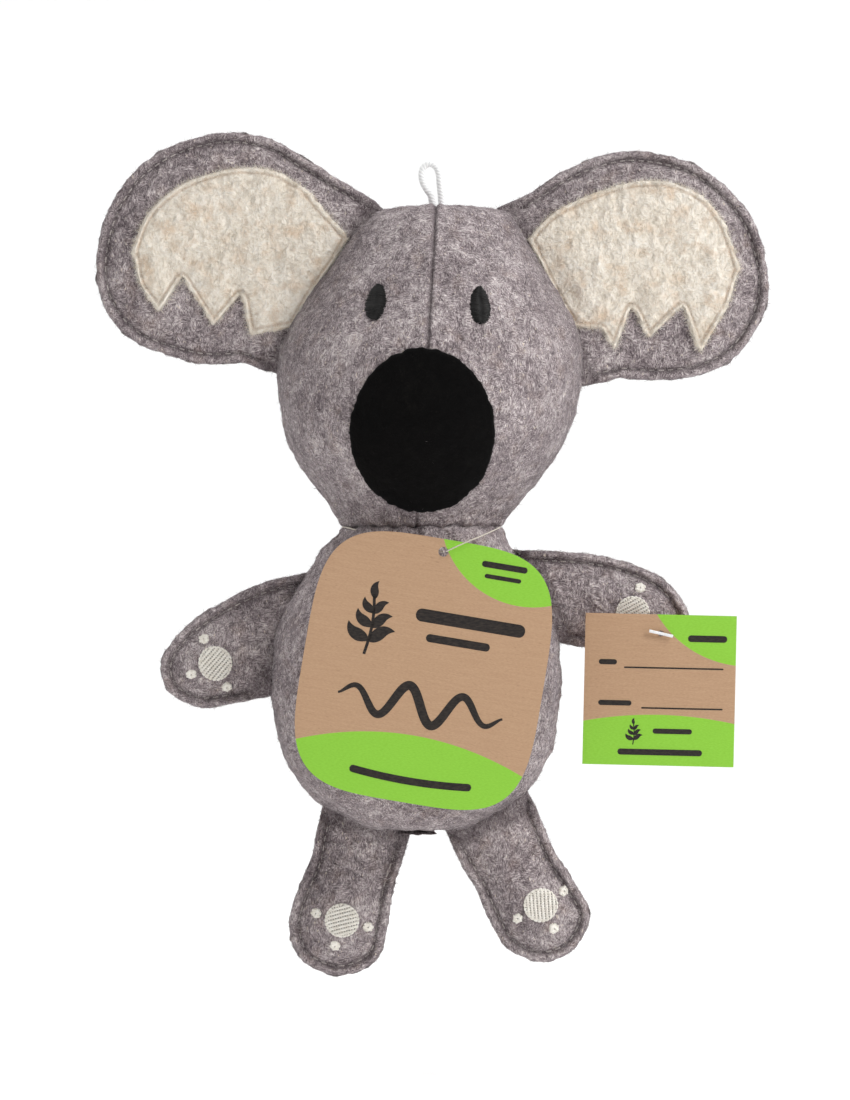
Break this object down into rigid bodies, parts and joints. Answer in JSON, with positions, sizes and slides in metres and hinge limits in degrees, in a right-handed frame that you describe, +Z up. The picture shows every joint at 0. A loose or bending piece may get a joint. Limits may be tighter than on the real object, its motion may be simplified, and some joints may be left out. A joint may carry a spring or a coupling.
{
  "type": "stuffed toy",
  "caption": "Stuffed felted-wool koala toy with big stitched ears, flat arms and legs, a hang loop, a neck card and a paw tag.",
  "frame": {"origin": "top of the inside of the hang loop, where a peg or hook carries the toy", "axes": "+Z up, -Y to the front of the face, +X to the koala's own left"},
  "size_m": [0.2241, 0.0889, 0.2809],
  "materials": {
    "grey_wool": "matte",
    "cream_fleece": "matte",
    "stuffing": "matte",
    "nose_velour": "matte",
    "eye_thread": "satin",
    "grey_thread": "matte",
    "cream_thread": "satin",
    "white_cord": "satin",
    "kraft_card": "matte",
    "squeaker_plastic": "satin",
    "pin_plastic": "gloss"
  },
  "bodies": {
    "loop": {"hang_loop": "white_cord"},
    "head": {"head_cover_left": "grey_wool", "head_cover_right": "grey_wool", "head_cover_back": "grey_wool", "head_stuffing": "stuffing", "nose_patch": "nose_velour", "eye_left": "eye_thread", "eye_right": "eye_thread"},
    "ear_left": {"ear_left_front_ply": "grey_wool", "ear_left_back_ply": "grey_wool", "ear_left_batting": "stuffing", "ear_left_insert": "cream_fleece", "ear_left_topstitch": "grey_thread"},
    "ear_right": {"ear_right_front_ply": "grey_wool", "ear_right_back_ply": "grey_wool", "ear_right_batting": "stuffing", "ear_right_insert": "cream_fleece", "ear_right_topstitch": "grey_thread"},
    "neck": {"neck_cover": "grey_wool", "neck_stuffing": "stuffing", "neck_elastic": "white_cord"},
    "torso": {"body_cover_front": "grey_wool", "body_cover_back": "grey_wool", "body_stuffing": "stuffing", "squeaker_base": "squeaker_plastic", "squeaker_bellows": "squeaker_plastic", "squeaker_whistle": "squeaker_plastic", "squeaker_reed": "squeaker_plastic"},
    "squeaker_top": {"squeaker_cap": "squeaker_plastic"},
    "arm_left": {"arm_left_front_ply": "grey_wool", "arm_left_back_ply": "grey_wool", "arm_left_filling": "stuffing", "arm_left_paw_pads": "cream_thread", "arm_left_topstitch": "grey_thread"},
    "arm_right": {"arm_right_front_ply": "grey_wool", "arm_right_back_ply": "grey_wool", "arm_right_filling": "stuffing", "arm_right_paw_pads": "cream_thread", "arm_right_topstitch": "grey_thread"},
    "leg_left": {"leg_left_front_ply": "grey_wool", "leg_left_back_ply": "grey_wool", "leg_left_filling": "stuffing", "leg_left_paw_pads": "cream_thread", "leg_left_topstitch": "grey_thread"},
    "leg_right": {"leg_right_front_ply": "grey_wool", "leg_right_back_ply": "grey_wool", "leg_right_filling": "stuffing", "leg_right_paw_pads": "cream_thread", "leg_right_topstitch": "grey_thread"},
    "hang_tag": {"hang_tag": "kraft_card"},
    "gift_tag_pin": {"gift_tag_pin": "pin_plastic"},
    "gift_tag": {"gift_tag": "kraft_card"}
  },
  "joints": [
    {"name": "loop_swing", "type": "hinge", "parent": "loop", "child": "head", "pos_m": [0.0021, 0, -0.0112], "axis": [-1, 0, 0], "range_deg": [-60, 60]},
    {"name": "ear_left_fold", "type": "hinge", "parent": "head", "child": "ear_left", "pos_m": [0.0285, 0, -0.013], "axis": [0.4215, 0, -0.9068], "range_deg": [-45, 35], "stiffness_Nm_per_rad": 0.12},
    {"name": "ear_right_fold", "type": "hinge", "parent": "head", "child": "ear_right", "pos_m": [-0.0215, 0, -0.0125], "axis": [0.5255, 0, 0.8508], "range_deg": [-45, 35], "stiffness_Nm_per_rad": 0.12},
    {"name": "neck_nod", "type": "hinge", "parent": "head", "child": "neck", "pos_m": [-0.003, 0, -0.12], "axis": [-1, 0, 0], "range_deg": [-11, 8], "stiffness_Nm_per_rad": 0.6},
    {"name": "neck_turn", "type": "hinge", "parent": "neck", "child": "torso", "pos_m": [-0.003, 0, -0.12], "axis": [0, 0, 1], "range_deg": [-12, 12], "stiffness_Nm_per_rad": 0.4},
    {"name": "arm_left_fold", "type": "hinge", "parent": "torso", "child": "arm_left", "pos_m": [0.0338, 0, -0.1295], "axis": [0.4669, 0, -0.8843], "range_deg": [-45, 20], "stiffness_Nm_per_rad": 0.05},
    {"name": "arm_right_fold", "type": "hinge", "parent": "torso", "child": "arm_right", "pos_m": [-0.041, 0, -0.1335], "axis": [0.4061, 0, 0.9138], "range_deg": [-40, 40], "stiffness_Nm_per_rad": 0.05},
    {"name": "leg_left_fold", "type": "hinge", "parent": "torso", "child": "leg_left", "pos_m": [0.0213, 0, -0.2207], "axis": [-0.9192, 0, -0.3939], "range_deg": [-45, 55], "stiffness_Nm_per_rad": 0.05},
    {"name": "leg_right_fold", "type": "hinge", "parent": "torso", "child": "leg_right", "pos_m": [-0.0233, 0, -0.2213], "axis": [-0.964, 0, 0.266], "range_deg": [-45, 55], "stiffness_Nm_per_rad": 0.05},
    {"name": "hang_tag_lift", "type": "hinge", "parent": "neck", "child": "hang_tag", "pos_m": [0.0043, -0.0346, -0.1283], "axis": [-1, 0, 0], "range_deg": [0, 45]},
    {"name": "gift_tag_swing", "type": "hinge", "parent": "arm_left", "child": "gift_tag_pin", "pos_m": [0.0763, 0, -0.1553], "axis": [0, 1, 0], "range_deg": [-30, 8]},
    {"name": "gift_tag_lift", "type": "hinge", "parent": "gift_tag_pin", "child": "gift_tag", "pos_m": [0.0763, -0.0112, -0.1553], "axis": [-1, 0, 0], "range_deg": [0, 30]},
    {"name": "squeaker_press", "type": "slide", "parent": "torso", "child": "squeaker_top", "axis": [0, 0, -1], "range_m": [0, 0.008], "stiffness_N_per_m": 400, "deforming": ["squeaker_bellows"]}
  ]
}
